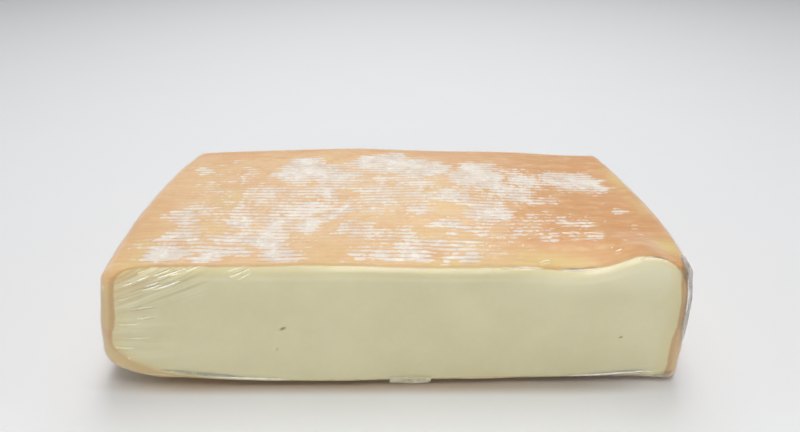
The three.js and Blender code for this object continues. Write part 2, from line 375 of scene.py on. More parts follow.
class Wire:
    """A node's output, with arithmetic that makes Math nodes."""

    def __init__(self, tree, socket):
        self.tree, self.socket = tree, socket

    def _math(self, kind, *others, clamp=False):
        node = self.tree.nodes.new("ShaderNodeMath")
        node.operation, node.use_clamp = kind, clamp
        for i, v in enumerate((self, *others)):
            if isinstance(v, Wire):
                self.tree.links.new(v.socket, node.inputs[i])
            else:
                node.inputs[i].default_value = float(v)
        return Wire(self.tree, node.outputs[0])

    def __add__(self, o): return self._math("ADD", o)
    def __radd__(self, o): return self._math("ADD", o)
    def __sub__(self, o): return self._math("SUBTRACT", o)
    def __rsub__(self, o): return (self * -1.0) + o
    def __mul__(self, o): return self._math("MULTIPLY", o)
    def __rmul__(self, o): return self._math("MULTIPLY", o)
    def __truediv__(self, o): return self._math("DIVIDE", o)
    def floor(self): return self._math("FLOOR")
    def fract(self): return self._math("FRACT")
    def cos(self): return self._math("COSINE")
    def power(self, o): return self._math("POWER", o)
    def least(self, o): return self._math("MINIMUM", o)
    def most(self, o): return self._math("MAXIMUM", o)
    def unit(self): return self._math("ADD", 0.0, clamp=True)

    def step(self, lo, hi, out_lo=0.0, out_hi=1.0):
        node = self.tree.nodes.new("ShaderNodeMapRange")
        node.interpolation_type = "SMOOTHSTEP"
        self.tree.links.new(self.socket, node.inputs["Value"])
        for name, v in (("From Min", lo), ("From Max", hi), ("To Min", out_lo), ("To Max", out_hi)):
            if isinstance(v, Wire):
                self.tree.links.new(v.socket, node.inputs[name])
            else:
                node.inputs[name].default_value = v
        return Wire(self.tree, node.outputs["Result"])


class Looks:
    """A material and short ways to its nodes. Places are in millimetres."""

    def __init__(self, name):
        self.material = bpy.data.materials.new(name)
        self.material.use_nodes = True
        self.tree = self.material.node_tree
        self.tree.nodes.clear()
        coords = self.tree.nodes.new("ShaderNodeTexCoord")
        scale = self.node("VectorMath", operation="SCALE")
        self.tree.links.new(coords.outputs["Object"], scale.inputs[0])
        scale.inputs["Scale"].default_value = 1000.0
        self.place = scale.outputs[0]
        split = self.node("SeparateXYZ")
        self.tree.links.new(self.place, split.inputs[0])
        self.x, self.y, self.z = (Wire(self.tree, o) for o in split.outputs)
        self.out = self.tree.nodes.new("ShaderNodeOutputMaterial")

    def node(self, kind, **props):
        n = self.tree.nodes.new("ShaderNode" + kind)
        for k, v in props.items():
            setattr(n, k, v)
        return n

    def attribute(self, name):
        n = self.node("Attribute", attribute_type="GEOMETRY", attribute_name=name)
        return Wire(self.tree, n.outputs["Fac"])

    def vector(self, x, y, z):
        n = self.node("CombineXYZ")
        for i, v in enumerate((x, y, z)):
            if isinstance(v, Wire):
                self.tree.links.new(v.socket, n.inputs[i])
            else:
                n.inputs[i].default_value = float(v)
        return n.outputs[0]

    def noise(self, at=None, size=1.0, detail=2.0, rough=0.5, distort=0.0):
        """Noise from 0 to 1 about 0.5, with features of the given size in mm."""
        n = self.node("TexNoise")
        self.tree.links.new(self.place if at is None else at, n.inputs["Vector"])
        n.inputs["Scale"].default_value = 1.0 / size
        n.inputs["Detail"].default_value = detail
        n.inputs["Roughness"].default_value = rough
        n.inputs["Distortion"].default_value = distort
        return Wire(self.tree, n.outputs["Fac"])

    def mix(self, fac, a, b):
        n = self.node("Mix", data_type="RGBA")
        for name, v in (("Factor", fac), ("A", a), ("B", b)):
            socket = n.inputs[0] if name == "Factor" else n.inputs[6 if name == "A" else 7]
            if isinstance(v, Wire):
                self.tree.links.new(v.socket, socket)
            elif isinstance(v, bpy.types.NodeSocket):
                self.tree.links.new(v, socket)
            else:
                socket.default_value = v
        return n.outputs[2]

    def bump(self, height, distance, strength=1.0, normal=None):
        n = self.node("Bump")
        n.inputs["Strength"].default_value = strength
        n.inputs["Distance"].default_value = distance
        self.tree.links.new(height.socket, n.inputs["Height"])
        if normal is not None:
            self.tree.links.new(normal, n.inputs["Normal"])
        return n.outputs[0]

    def principled(self, colour, rough, normal=None, **plain):
        n = self.node("BsdfPrincipled")
        for name, v in (("Base Color", colour), ("Roughness", rough), ("Normal", normal)):
            if v is None:
                continue
            if isinstance(v, Wire):
                self.tree.links.new(v.socket, n.inputs[name])
            elif isinstance(v, bpy.types.NodeSocket):
                self.tree.links.new(v, n.inputs[name])
            else:
                n.inputs[name].default_value = v
        for name, v in plain.items():
            n.inputs[name.replace("_", " ")].default_value = v
        return n

    def shader_mix(self, fac, a, b):
        n = self.node("MixShader")
        if isinstance(fac, Wire):
            self.tree.links.new(fac.socket, n.inputs[0])
        else:
            n.inputs[0].default_value = fac
        self.tree.links.new(a, n.inputs[1])
        self.tree.links.new(b, n.inputs[2])
        return n.outputs[0]

    def finish(self, shader):
        self.tree.links.new(shader, self.out.inputs["Surface"])
        return self.material


def cheese_looks():
    m = Looks("cheese")
    lift, phase, cut = m.attribute("lift"), m.attribute("phase"), m.attribute("cut")
    tone, pit_shade, ribbed = m.attribute("tone"), m.attribute("pit_shade"), m.attribute("ribbed")
    gold, side_of = m.attribute("gold"), m.attribute("topside")

    # Ribs of the draining mat. Each has a row number, so that its bars break where they like.
    row, along = phase.floor(), phase.fract()
    off = (along - 0.5)._math("ABSOLUTE") * 2.0            # 0 on a rib's crest, 1 in the valley between two
    bars = m.noise(m.vector(m.x * 0.15 + row * 7.31, row * 3.77, 0.0), 1.0, detail=5.0, rough=0.72)
    flecks = m.noise(m.vector(m.x * 0.8, m.y * 1.5, m.z * 1.5), 1.5, detail=4.0, rough=0.62)
    clouds = m.noise(size=7.0, detail=3.0, rough=0.6)
    fine = m.noise(m.vector(m.x * 0.55, m.y, m.z), 1.1, detail=4.0, rough=0.65)

    # White where the wrap stands off the rind: whole patches, then bars along the ribs, then flecks.
    reach = lift * 1.60 + (bars - 0.5) * 2.5 * ribbed + (flecks - 0.5) * 2.1 + (clouds - 0.5) * 1.2 - 0.50
    solid = m.noise(size=9.0, detail=2.0)
    groove = off.power(2.4) * 1.0 * ribbed * solid.step(0.66, 0.42, 0.62, 1.05)
    white = (reach - groove).step(-0.03, 0.13) * lift.step(0.03, 0.20)
    veil = (lift + (clouds - 0.5) * 0.6).step(0.10, 0.85)

    # The rind under it.
    warm = (tone * 1.0 + (m.noise(size=13.0, detail=4.0, rough=0.6) - 0.5) * 0.9).unit()
    rind = m.mix(warm, linear(242, 216, 174), linear(224, 171, 113))
    mottle = m.noise(m.vector(m.x * 0.6, m.y, m.z), 4.5, detail=4.0, rough=0.6)
    rind = m.mix(mottle.step(0.48, 0.72) * 0.5, rind, linear(224, 172, 116))
    rind = m.mix(mottle.step(0.50, 0.30) * 0.4, rind, linear(244, 222, 178))
    rind = m.mix((fine - 0.40) * 0.9, rind, linear(220, 166, 108))
    yellow = m.noise(size=19.0, detail=2.0) + (cut + 9.0).step(0.0, 8.0) * 0.14
    rind = m.mix(yellow.step(0.58, 0.78) * 0.6, rind, linear(228, 206, 142))
    rim = (m.y - 44.0).step(0.0, 7.0) * 0.5 + (m.x - 50.0).step(0.0, 30.0) * 0.25
    rind = m.mix(rim * side_of, rind, linear(224, 172, 112))
    rind = m.mix((m.x - 26.0).step(0.0, 46.0) * side_of * (mottle.step(0.36, 0.64) * 0.46 + 0.05) + 0.08, rind, linear(212, 150, 88))
    rind = m.mix((gold * (mottle * 1.2 + 0.45)).unit() * 0.85, rind, linear(230, 206, 136))
    specks = m.noise(m.vector(m.x, m.y, m.z), 0.9, detail=3.0, rough=0.7)
    rind = m.mix(specks.step(0.60, 0.74) * 0.35, rind, linear(244, 226, 198))
    valley = off.step(0.50, 0.95) * ribbed
    rind = m.mix(valley * (lift.step(0.25, 0.75) * 0.72 + 0.08), rind, linear(212, 150, 108))
    rind = m.mix(veil * 0.30, rind, linear(241, 222, 196))
    rind = m.mix((1.0 - side_of) * (42.0 - m.z).step(0.0, 8.0) * 0.45, rind, linear(204, 184, 154))
    pale = m.mix(clouds.step(0.35, 0.65), linear(227, 216, 204), linear(240, 232, 221))
    rind = m.mix(white * (clouds * 0.3 + 0.78), rind, pale)
    # Painted glints: the strongest bars and flecks of the white are made lighter still.
    painted_glint = (reach - groove).step(0.35, 0.80) * (flecks * 0.5 + bars * 0.5).step(0.50, 0.62)
    rind = m.mix(painted_glint * 0.8, rind, linear(252, 248, 240))

    # The paste: cream, a little yellower towards the rind, mottled very softly.
    soft = m.noise(size=24.0, detail=3.0, rough=0.5)
    paste = m.mix(soft.step(0.3, 0.7), linear(226, 219, 182), linear(220, 212, 174))
    paste = m.mix((m.noise(size=2.2, detail=3.0) - 0.5) * 0.35, paste, linear(243, 238, 206))
    # Painted highlight: the paste is lighter at the top right of the cut face, where the raised corner catches the
    # light.
    paste = m.mix((m.x - 30.0).step(0.0, 28.0) * (m.z - 33.5).step(0.0, 11.0) * 0.5, paste, linear(247, 241, 212))
    near = cut.step(5.5, 0.4)
    paste = m.mix(near * 0.40, paste, linear(222, 206, 150))
    corner = (m.x * -1.0 - 66.0).step(0.0, 24.0) * (m.z - 31.0).step(0.0, 11.0)
    paste = m.mix(corner * (m.noise(size=4.0, detail=3.0).step(0.25, 0.7) * 0.6 + 0.25), paste, linear(226, 196, 146))
    toe = ((m.x + 92.0) * 0.744 + (m.z - 16.6) * 0.668).step(6.0, -1.0) * (m.x * -1.0 - 60.0).step(0.0, 14.0)
    paste = m.mix(toe * 0.45, paste, linear(214, 190, 134))
    # Painted shade: the paste is darkened inside the eyes and pits.
    paste = m.mix(pit_shade.step(0.15, 0.75) * 0.8, paste, linear(150, 120, 66))

    # The wrap pulls the left of the cut face into fine folds: slanting at its top corner, level below; their lit and
    # shaded sides are painted into the paste as light and dark streaks.
    slant = m.noise(m.vector((m.z - m.x * 0.40) * 0.95, m.x * 0.030, m.z * 0.03), 1.0, detail=2.0, rough=0.5)
    slanting = (m.x * -1.0 - 55.0).step(0.0, 9.0) * (m.x + 93.0).step(0.0, 14.0) * (m.z - m.x * 0.25 - 52.5).step(-3.0, 3.0) * (m.y * -1.0 - 46.5).step(0.0, 3.0)
    level = m.noise(m.vector((m.z - m.x * 0.06) * 0.42, m.x * 0.045, 3.3), 1.0, detail=2.0, rough=0.5)
    levelled = (m.x * -1.0 - 64.0).step(0.0, 20.0) * (m.z - 4.0).step(0.0, 5.0) * (m.z * -1.0 + 35.0).step(0.0, 4.0)
    fold_bump_and_painted_light = (slant - 0.5) * slanting * 0.9 + (level - 0.5) * levelled * 0.30
    paste = m.mix((fold_bump_and_painted_light * 3.4).unit(), paste, linear(246, 241, 214))
    paste = m.mix((fold_bump_and_painted_light * -3.0).unit(), paste, linear(196, 172, 124))

    low_left = (m.z * -1.0 + 22.0).step(0.0, 9.0) * (m.x * -1.0 - 62.0).step(0.0, 14.0) * (m.y * -1.0 - 44.0).step(0.0, 5.0)
    rind = m.mix(low_left * (mottle * 0.8 + 0.35), rind, linear(214, 193, 142))
    line = cut + (m.noise(size=3.2, detail=3.0) - 0.5) * 1.0
    soft_by = low_left * 1.1 + 0.25
    colour = m.mix(line.step(soft_by * -1.0, soft_by), rind, paste)
    brown = line.step(-2.4, -0.5) * line.step(0.5, -0.1)
    colour = m.mix(brown * (0.5 - low_left * 0.35), colour, linear(190, 146, 92))

    # Painted shade: the whole cheese is darkened a little, standing in for the shadow of the film, which throws none.
    colour = m.mix(0.055, colour, (0.0, 0.0, 0.0, 1.0))

    rough = white * 0.10 + 0.46
    grain = m.bump(fine * 0.6 + flecks * 0.4 + fold_bump_and_painted_light * 6.0, 0.00014, 0.6)
    n = m.principled(colour, rough, grain)
    n.inputs["Subsurface Weight"].default_value = 0.22
    n.inputs["Subsurface Radius"].default_value = (0.0035, 0.0026, 0.0014)
    n.inputs["Subsurface Scale"].default_value = 1.0
    n.inputs["Specular IOR Level"].default_value = 0.25
    return m.finish(n.outputs[0])


def skin_looks():
    m = Looks("film_skin")
    ripple = m.noise(m.vector(m.x * 0.35, m.y, m.z), 2.2, detail=3.0, rough=0.55)
    wave = m.noise(size=14.0, detail=2.0)
    normal = m.bump(ripple * 0.5 + wave * 2.0, 0.0005, 0.5)
    gloss = m.node("BsdfAnisotropic")
    gloss.inputs["Roughness"].default_value = 0.25
    gloss.inputs["Color"].default_value = (1, 1, 1, 1)
    m.tree.links.new(normal, gloss.inputs["Normal"])
    clear = m.node("BsdfTransparent")
    fresnel = m.node("Fresnel")
    fresnel.inputs["IOR"].default_value = 1.42
    m.tree.links.new(normal, fresnel.inputs["Normal"])
    shine = Wire(m.tree, fresnel.outputs[0]).least(0.30) * 0.85
    return m.finish(m.shader_mix(shine, clear.outputs[0], gloss.outputs[0]))


def crease_looks(name, colour, cover, rough=0.16, coat=0.0):
    m = Looks(name)
    clear = m.node("BsdfTransparent")
    n = m.principled(colour, rough)
    n.inputs["Coat Weight"].default_value = coat
    n.inputs["Coat Roughness"].default_value = 0.16
    patch = m.noise(m.vector(m.x, m.y, m.z), 2.5, detail=2.0)
    share = patch.step(0.25, 0.75, cover * 0.7, min(1.0, cover * 1.2)) * m.attribute("cover")
    return m.finish(m.shader_mix(share, clear.outputs[0], n.outputs[0]))


cheese.data.materials.append(cheese_looks())

# =========================================================================================
# The film: its skin, its pleats and folds
# =========================================================================================
q, F = cube_net(grid_lines(104, 7), grid_lines(70, 7), grid_lines(26, 7))
P, S, D = block(q)
N = point_normals(P, F)
px, py, pz = P.T
slack = 0.10 * noise(px / 9, py / 9, pz / 6, seed=81, octaves=2) + 0.05 * noise(px / 3.2, py / 3.2, pz / 2.4, seed=82)
skin_points = P + N * (slack * 0.5 + 0.10)[:, None]
skin_points[:, 2] = np.maximum(skin_points[:, 2], 0.0)
skin_faces = F.tolist()
tree = BVHTree.FromPolygons(skin_points.tolist(), skin_faces)

film_points, film_faces, film_slots, film_cover = [skin_points], list(skin_faces), [0] * len(skin_faces), [np.ones(len(skin_points))]
film_count = len(skin_points)


def add_film(points, faces, slot, cover=None):
    global film_count
    film_points.append(np.asarray(points, float))
    film_cover.append(np.ones(len(points)) if cover is None else np.asarray(cover, float))
    film_faces.extend([[i + film_count for i in f] for f in faces])
    film_slots.extend([slot] * len(faces))
    film_count += len(points)


def at_pixel(u, v):
    """The film's surface at a place of the frame: point and outward normal, or None."""
    hit, normal, *_ = tree.ray_cast(Vector(EYE), Vector(pixel_ray(u, v)))
    return None if hit is None else (np.array(hit), np.array(normal))


def towards(origin, direction, reach=60.0):
    hit, normal, *_ = tree.ray_cast(Vector(origin), Vector(direction))
    if hit is None or (hit - Vector(origin)).length > reach:
        return None
    return np.array(hit), np.array(normal)


def along_path(corners, count):
    """Even points along a path of corner points."""
    c = np.array(corners, float)
    s = np.concatenate([[0], np.cumsum(np.linalg.norm(np.diff(c, axis=0), axis=1))])
    t = np.linspace(0, s[-1], count)
    # a straight course from corner to corner
    return np.stack([np.interp(t, s, c[:, k]) for k in range(c.shape[1])], -1)


def pleat(hits, width, height, slot, swell=None, lean=0.0):
    """A narrow raised fold of film along the surface, closed all round, running out at both ends.
    swell holds (share of the way, share of the full width); lean moves the crest to one side."""
    hits = [h for h in hits if h is not None]
    if len(hits) < 5:
        return
    C = np.array([h[0] for h in hits])
    Nn = np.array([h[1] for h in hits])
    for _ in range(2):
        C[1:-1] = 0.25 * C[:-2] + 0.5 * C[1:-1] + 0.25 * C[2:]
        Nn[1:-1] = 0.25 * Nn[:-2] + 0.5 * Nn[1:-1] + 0.25 * Nn[2:]
    Nn /= np.linalg.norm(Nn, axis=1, keepdims=True)
    T = np.gradient(C, axis=0)
    T /= np.linalg.norm(T, axis=1, keepdims=True) + 1e-12
    B = np.cross(Nn, T)
    B /= np.linalg.norm(B, axis=1, keepdims=True) + 1e-12
    n = len(C)
    t = np.linspace(0, 1, n)
    full = np.clip(np.sin(math.pi * t), 0, 1) ** 0.7
    if swell is not None:
        full = full * np.interp(t, [a for a, _ in swell], [b for _, b in swell])
    crest = -0.30 * lean
    section = []
    for a in np.linspace(-0.5, 0.5, 9):
        way = 0.5 * (a + 0.5) / (crest + 0.5) if a < crest else 0.5 + 0.5 * (a - crest) / (0.5 - crest)
        section.append((a, math.sin(math.pi * way) ** 2 * 1.06 - 0.06))
    points, cover = [], []
    for i in range(1, n - 1):
        for a, b in section:
            points.append(C[i] + B[i] * a * width * full[i] + Nn[i] * b * height * full[i])
            cover.append(math.cos(math.pi * a) * min(1.0, 1.4 * full[i]))
    k = len(section)
    faces = []
    for i in range(n - 3):
        for j in range(k):
            a, b = i * k + j, i * k + (j + 1) % k
            faces.append([a, a + k, b + k, b])
    first, last = len(points), len(points) + 1
    points += [C[0], C[-1]]
    cover += [0.0, 0.0]
    for j in range(k):
        faces.append([first, j, (j + 1) % k])
        base = (n - 3) * k
        faces.append([last, base + (j + 1) % k, base + j])
    add_film(points, faces, slot, cover)


rng = np.random.default_rng(7)
# The grey of the fold slot is partly layered film and partly painted shade and reflection of the dim surroundings.
CREASE, FOLD_SHADE, MILK, GLINT, SHADE, HAZE = 1, 2, 3, 4, 5, 6


def pixel_pleat(corners, width, height, slot, count=16, swell=None, lean=0.0):
    pleat([at_pixel(u, v) for u, v in along_path(corners, count)], width, height, slot, swell, lean)


def leaf(rows, slot, thick=0.12, cover=None):
    """A thin leaf of film through rows of points, closed at its rim."""
    G = np.array(rows, float)
    n, m = G.shape[:2]
    du, dv = np.gradient(G, axis=0), np.gradient(G, axis=1)
    up = np.cross(du, dv)
    up /= np.linalg.norm(up, axis=2, keepdims=True) + 1e-12
    both = np.concatenate([(G + up * thick / 2).reshape(-1, 3), (G - up * thick / 2).reshape(-1, 3)])
    low = n * m
    faces = []
    for i in range(n - 1):
        for j in range(m - 1):
            a = i * m + j
            faces.append([a, a + m, a + m + 1, a + 1])
            faces.append([low + a, low + a + 1, low + a + m + 1, low + a + m])
    rim = [j for j in range(m)] + [i * m + m - 1 for i in range(1, n)] + [(n - 1) * m + j for j in range(m - 2, -1, -1)] + [i * m for i in range(n - 2, 0, -1)]
    for a, b in zip(rim, rim[1:] + rim[:1]):
        faces.append([a, b, low + b, low + a])
    add_film(both, faces, slot, None if cover is None else np.tile(np.asarray(cover, float).reshape(-1), 2))


def flank(corners, width, height, slot, count=22, strength=1.0):
    """The lit side of a low fold: a strip that stands out from the surface along its lower edge."""
    hits = [h for h in (at_pixel(u, v) for u, v in along_path(corners, count)) if h is not None]
    if len(hits) < 5:
        return
    C, Nn = np.array([h[0] for h in hits]), np.array([h[1] for h in hits])
    T = np.gradient(C, axis=0)
    B = np.cross(Nn, T)
    B /= np.linalg.norm(B, axis=1, keepdims=True) + 1e-12
    t = np.linspace(0, 1, len(C))
    full = np.clip(np.sin(math.pi * t), 0, 1) ** 0.6
    rows, cover = [], []
    for a in np.linspace(-0.5, 0.5, 7):
        out = 0.03 + height * (0.5 - a) ** 0.8
        rows.append(C + B * (a * width * (0.4 + 0.6 * full))[:, None] + Nn * (out * full)[:, None])
        cover.append(full * strength * math.cos(math.pi * a * 0.96) ** 0.6)
    leaf(rows, slot, 0.03, np.array(cover))


# Slanting folds at the top left of the cut face: a lit flank, and a darker line over some of them.
for u0, v0, u1, v1, wide, dark in [
    (136, 274.2, 150.5, 268.2, 0.50, 0), (135.5, 281.2, 149.5, 275.6, 0.50, 0), (152, 276.8, 173, 268.6, 0.55, 1),
    (156, 278.6, 189, 267.6, 0.60, 1), (184, 271.4, 201, 266.2, 0.55, 1), (139.5, 291.4, 164, 283.4, 0.50, 1),
    (153.5, 290.0, 181, 280.6, 0.60, 0), (143, 287.0, 161, 281.2, 0.45, 0), (168, 276.4, 182, 272.0, 0.40, 0),
    (122, 286.0, 134, 282.0, 0.45, 0), (226.6, 272.2, 245, 265.6, 0.50, 0), (228, 278.0, 250, 268.6, 0.50, 1),
    (237, 280.0, 252, 272.4, 0.45, 0),
]:
    mid = ((u0 + u1) / 2, (v0 + v1) / 2 + 0.35)
    flank([(u0, v0), mid, (u1, v1)], wide * 0.95, wide * 0.42, GLINT, 22, 1.0 if wide > 0.5 else 0.75)
    if dark:
        flank([(u0 + 2, v0 - 1.7), (mid[0], mid[1] - 1.3), (u1 - 1, v1 - 1.0)], 0.34, 0.0, SHADE, 22, 0.40)
# Level ones below them, by the left edge.
for u0, v0, u1, v1, wide, slot in [
    (128, 311.4, 159, 306.8, 0.36, SHADE), (129, 309.6, 157, 305.4, 0.45, CREASE), (137, 318.8, 159, 315.6, 0.45, CREASE),
    (137, 320.4, 157, 317.4, 0.30, SHADE), (115, 347.6, 136, 347.8, 0.50, CREASE), (113, 331.4, 121, 329.6, 0.40, CREASE),
    (116, 300.4, 128, 298.6, 0.35, CREASE), (119, 325.0, 140, 323.6, 0.35, CREASE), (125, 338.4, 150, 337.4, 0.40, CREASE),
    (127, 357.0, 133, 359.6, 0.40, CREASE),
]:
    flank([(u0, v0), ((u0 + u1) / 2, (v0 + v1) / 2 + 0.25), (u1, v1)], wide, wide * (0.36 if slot == CREASE else 0.0), slot, 20, 0.8 if slot == CREASE else 0.35)
# The lip over the raised corner, and the fold in the dip beside it.
pixel_pleat([(640, 260.0), (648, 258.6), (658, 259.0), (667, 261.0), (674, 263.8)], 1.1, 0.40, GLINT, count=24)
pixel_pleat([(650, 257.0), (660, 257.4), (670, 260.2)], 0.9, 0.16, SHADE, count=18)
pixel_pleat([(511, 267.6), (526, 267.4), (544, 267.8)], 0.7, 0.24, GLINT, count=20)
pixel_pleat([(556, 270.0), (575, 270.8), (592, 269.8), (608, 267.0)], 1.0, 0.34, GLINT, count=24)
pixel_pleat([(563, 268.2), (580, 268.8), (600, 266.6)], 1.2, 0.16, SHADE, count=20)
pixel_pleat([(558, 268.4), (570, 269.6), (588, 269.9)], 1.3, 0.10, FOLD_SHADE, count=22)
pixel_pleat([(500, 269.2), (520, 269.2), (548, 268.6)], 0.7, 0.20, GLINT, count=22)
# Fine glints of the wrap over the right of the top.
for u0, v0, u1, v1, wide in [
    (535.8, 234, 545.4, 235, 0.5), (545, 236.8, 562.6, 235.9, 0.55), (558.8, 232.6, 575, 234, 0.45), (580.8, 232.5, 608, 234, 0.5),
    (592, 240.7, 599, 240.9, 0.35), (603, 223, 606.6, 220.5, 0.4), (610.5, 249, 613.4, 247, 0.4), (614, 252, 623, 249, 0.45),
    (629.6, 225.4, 640, 225.8, 0.4), (630, 229, 639, 229.6, 0.4), (636, 234.6, 645, 235.6, 0.35), (537.7, 262.7, 553, 259.8, 0.6),
    (540, 265, 552, 262.6, 0.4), (560.7, 221.5, 568, 222.0, 0.4), (438, 265.3, 450.7, 265.0, 0.4), (411.5, 262.2, 434, 262.6, 0.35),
    (497, 236, 507, 238, 0.4), (528, 239.5, 533, 237.5, 0.35), (570, 240.5, 584, 240.0, 0.3), (548, 229.5, 556, 228.6, 0.3),
    (600, 205, 606, 202.5, 0.35), (596, 212, 602, 211.5, 0.3), (622, 240, 629, 240.6, 0.3), (588, 222.5, 597, 223.0, 0.3),
]:
    pixel_pleat([(u0, v0), ((u0 + u1) / 2, (v0 + v1) / 2 - 0.25), (u1, v1)], wide * 1.25, wide * 0.5, GLINT, count=10)
# Edges of the wrap along the foot of the cut face.
pixel_pleat([(156, 369.6), (172, 371.2), (195, 373.6), (222, 375.6), (246, 376.8)], 1.9, 0.12, FOLD_SHADE, count=34)
pixel_pleat([(143, 372.6), (160, 374.4), (180, 376.0)], 0.9, 0.14, CREASE, count=20)
pixel_pleat([(200, 376.2), (240, 378.0), (275, 379.0), (300, 379.6)], 1.1, 0.16, GLINT, count=30)
pixel_pleat([(318, 379.6), (340, 379.8), (366, 379.8)], 0.8, 0.12, CREASE, count=22)
pixel_pleat([(430, 378.4), (470, 377.6), (520, 376.6)], 0.8, 0.12, CREASE, count=26)
pixel_pleat([(556, 376.0), (590, 374.8), (620, 372.8), (646, 371.0), (660, 371.6)], 1.5, 0.20, GLINT, count=36)
pixel_pleat([(600, 376.4), (628, 375.4), (650, 374.8)], 1.1, 0.12, FOLD_SHADE, count=28)
pixel_pleat([(650, 375.6), (660, 375.6), (668, 374.0), (673, 370.0)], 2.8, 0.08, FOLD_SHADE, count=26)
pixel_pleat([(588, 374.6), (612, 373.6), (634, 371.6), (652, 373.4)], 1.8, 0.16, MILK, count=36)

# The loose fold under the foot: a flap that hangs from the foot of the cut face to the table, and its hidden root.
rows, cover = [], []
for t in np.linspace(0, 1, 9):
    row, c = [], []
    for u in np.linspace(389.0, 431.6, 24):
        w = (u - 389.0) / 42.6
        low = 382.8 - 2.2 * float(ease(0.90, 1.0, w)) - 1.2 * float(ease(0.06, 0.0, w)) - 0.5 * math.sin(w * 9.0)
        d = pixel_ray(u, 375.4 + (low - 375.4) * t)
        k = (-54.50 + 0.75 * t + 0.10 * math.sin(w * 17.0) * t - EYE[1]) / d[1]
        row.append(EYE + d * k)
        c.append(float(ease(0.05, 0.55, t)) * (0.72 + 0.06 * math.sin(w * 9.0 + 1.0)) * float(ease(0.0, 0.03, w) * ease(1.0, 0.97, w)))
    rows.append(row)
    cover.append(c)
leaf(rows, CREASE, 0.06, np.array(cover))
for u0, v0, u1, v1, tall in [(389.6, 381.2, 392.2, 382.4, 1.5), (424.6, 379.6, 430.6, 378.6, 1.7)]:
    rows, cover = [], []
    for t in np.linspace(-0.5, 0.5, 5):
        row, c = [], []
        for w in np.linspace(0, 1, 7):
            d = pixel_ray(u0 + (u1 - u0) * w, v0 + (v1 - v0) * w + tall * t)
            row.append(EYE + d * ((-54.55 - EYE[1]) / d[1]))
            c.append(0.62 * math.cos(math.pi * t * 0.96) * math.sin(math.pi * (0.04 + 0.92 * w)))
        rows.append(row)
        cover.append(c)
    leaf(rows, CREASE, 0.04, np.array(cover))
leaf([[(x, -53.2 + 7.6 * t, 0.25 + 0.25 * (1 - t)) for x in np.linspace(-0.8, 11.8, 10)] for t in np.linspace(0, 1, 6)], MILK, 0.12, np.full((6, 10), 0.35))

# The right front edge: the wrap bridges it, grey and cloudy, from the top corner down.
rows, cover = [], []
for a in np.linspace(0, 1, 15):
    row, c = [], []
    for k, z in enumerate(np.linspace(13.0, 45.2, 40)):
        w = k / 39
        angle = math.radians(-12 + (74 + 30 * float(ease(0.70, 0.92, w))) * a)
        out = np.array([math.cos(angle), -math.sin(angle), 0.0])
        hit = towards(np.array([91.0, -47.5, z]) + out * 40, -out)
        row.append(hit[0] + hit[1] * (0.05 + 0.06 * float(noise(z / 3.4, a * 2.0, seed=96))))
        c.append(float(ease(0.05, 0.40, a) * ease(1.0, 0.78, a) * ease(0.02, 0.42, w) * ease(1.02, 0.97, w)) * (0.80 + 0.25 * float(noise(z / 4.0, a * 3.0, seed=97))))
    rows.append(row)
    cover.append(c)
leaf(rows[::-1], HAZE, 0.08, np.array(cover[::-1]))


def edge_pleat(points, width, height, slot, count=24, swell=None):
    """A fold along the right front edge: its points are degrees round the edge and heights."""
    hits = []
    for degrees, z in along_path(points, count):
        out = np.array([math.cos(math.radians(degrees)), -math.sin(math.radians(degrees)), 0.0])
        hits.append(towards(np.array([91.5, -47.5, z]) + out * 40, -out))
    pleat(hits, width, height, slot, swell)


edge_pleat([(14, 43.0), (18, 34.0), (16, 24.0), (8, 14.0)], 1.2, 0.16, MILK, 36)
edge_pleat([(34, 43.0), (31, 36.0), (28, 29.0)], 0.9, 0.14, FOLD_SHADE, 24)
edge_pleat([(24, 33.5), (23, 31.0), (22, 28.5)], 1.3, 0.12, SHADE, 14)
pixel_pleat([(680.8, 257.0), (683.0, 264.0), (684.8, 271.0), (686.2, 279.0), (687.0, 287.0)], 2.6, 0.06, SHADE, count=32, swell=[(0, 0.6), (0.5, 1.0), (1, 0.3)])
pixel_pleat([(679.5, 255.6), (684.5, 256.6), (688.4, 261.5), (690.6, 269.0)], 3.0, 0.10, MILK, count=28)
pixel_pleat([(686.6, 262.0), (689.0, 270.0), (690.2, 280.0), (690.4, 292.0)], 2.0, 0.08, MILK, count=28)
pixel_pleat([(677.5, 255.8), (683.0, 257.2), (687.0, 261.4), (690.0, 268.0)], 2.6, 0.08, HAZE, count=30)
pixel_pleat([(682.5, 258.2), (685.6, 262.0), (688.0, 267.5)], 2.4, 0.06, HAZE, count=24)
pixel_pleat([(681.0, 255.4), (684.2, 261.0), (687.0, 267.0), (689.0, 275.0)], 2.3, 0.06, MILK, count=28)


# Pulls of the wrap over the ends and the back: they fan from the upper corners down to the foot.
def pull(origin_a, origin_b, direction, wide, high, slot, bend=0.0, count=18):
    A, B = np.array(origin_a, float), np.array(origin_b, float)
    across = np.cross(B - A, direction)
    across /= np.linalg.norm(across) + 1e-9
    hits = []
    for t in np.linspace(0, 1, count):
        hits.append(towards(A * (1 - t) + B * t + across * bend * math.sin(math.pi * t), direction))
    pleat(hits, wide, high, slot)


